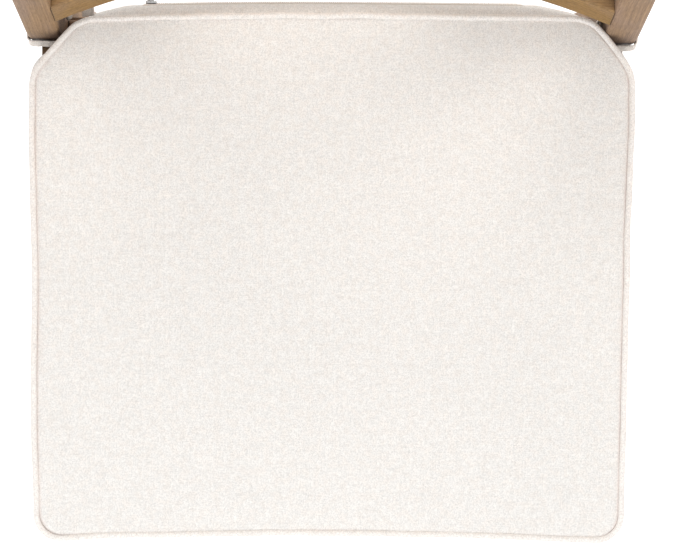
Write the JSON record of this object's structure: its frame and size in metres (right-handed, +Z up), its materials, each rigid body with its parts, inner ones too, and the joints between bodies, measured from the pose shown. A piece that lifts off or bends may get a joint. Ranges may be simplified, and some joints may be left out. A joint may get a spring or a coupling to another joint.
{
  "type": "wooden armchair",
  "caption": "Wooden armchair with a leaning crossed back, a bowed lower rail, a slatted seat, bracketed arms and a piped, tied-on linen cushion.",
  "frame": {"origin": "on the floor, under the middle of the chair's box", "axes": "+Z up; the sitter faces -Y; +X is to the sitter's left"},
  "size_m": [0.584, 0.62, 0.9226],
  "materials": {
    "wood_frame": "weathered taupe stain, matt",
    "wood_pegs": "end grain, matt",
    "linen": "slubbed linen plain weave, off-white",
    "foam": "open-cell foam",
    "zipper": "woven tape with coil teeth",
    "zinc": "zinc plated",
    "glide": "dark moulded plastic"
  },
  "bodies": {
    "root": {"arm_bracket_left": "wood_frame", "arm_bracket_right": "wood_frame", "arm_left": "wood_frame", "arm_plugs": "wood_pegs", "arm_right": "wood_frame", "arm_screws": "zinc", "bottom_piping": "linen", "corner_block_front_left": "wood_frame", "corner_block_front_right": "wood_frame", "corner_block_rear_left": "wood_frame", "corner_block_rear_right": "wood_frame", "corner_block_screws": "zinc", "crest_rail": "wood_frame", "cross_brace_front": "wood_frame", "cross_brace_rear": "wood_frame", "cushion_cover": "linen", "cushion_foam": "foam", "floor_glides": "glide", "frame_pegs": "wood_pegs", "front_leg_left": "wood_frame", "front_leg_right": "wood_frame", "front_seat_rail": "wood_frame", "left_seat_rail": "wood_frame", "left_stretcher": "wood_frame", "lower_back_rail": "wood_frame", "middle_stretcher": "wood_frame", "rear_post_left": "wood_frame", "rear_post_right": "wood_frame", "rear_seat_rail": "wood_frame", "rear_stretcher": "wood_frame", "right_seat_rail": "wood_frame", "right_stretcher": "wood_frame", "seat_slat_1": "wood_frame", "seat_slat_2": "wood_frame", "seat_slat_3": "wood_frame", "seat_slat_4": "wood_frame", "seat_slat_5": "wood_frame", "seat_slat_6": "wood_frame", "seat_slat_7": "wood_frame", "seat_slat_screws": "zinc", "tie_band_left": "linen", "tie_band_right": "linen", "tie_knot_left": "linen", "tie_knot_right": "linen", "tie_tails_left": "linen", "tie_tails_right": "linen", "top_piping": "linen", "zipper_slider": "zinc", "zipper_tape": "zipper"}
  },
  "joints": []
}
